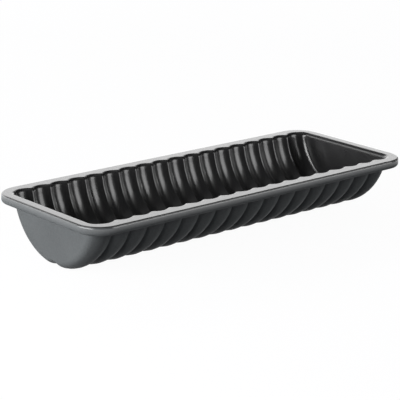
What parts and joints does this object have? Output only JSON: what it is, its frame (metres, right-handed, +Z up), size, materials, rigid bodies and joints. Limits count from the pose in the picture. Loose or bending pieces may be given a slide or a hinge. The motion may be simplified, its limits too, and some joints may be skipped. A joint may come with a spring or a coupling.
{
  "type": "ridged loaf pan",
  "caption": "Half-round fluted steel cake pan with flat end walls, a pressed spine, a flat flange and a rim rolled round a wire.",
  "frame": {"origin": "centre of the box around the pan, on the table it stands on", "axes": "+X along the trough, +Y across it, +Z up, out of the open mouth"},
  "size_m": [0.3, 0.1186, 0.043],
  "materials": {
    "sheet_steel": "bare drawn steel, hidden under both films",
    "release_film": "glossy near-black baked release film",
    "outside_film": "satin dark grey baked film",
    "wire_steel": "drawn steel wire"
  },
  "bodies": {
    "root": {"steel_shell": "sheet_steel", "release_coating": "release_film", "outside_coating": "outside_film", "rim_wire": "wire_steel"}
  },
  "joints": []
}
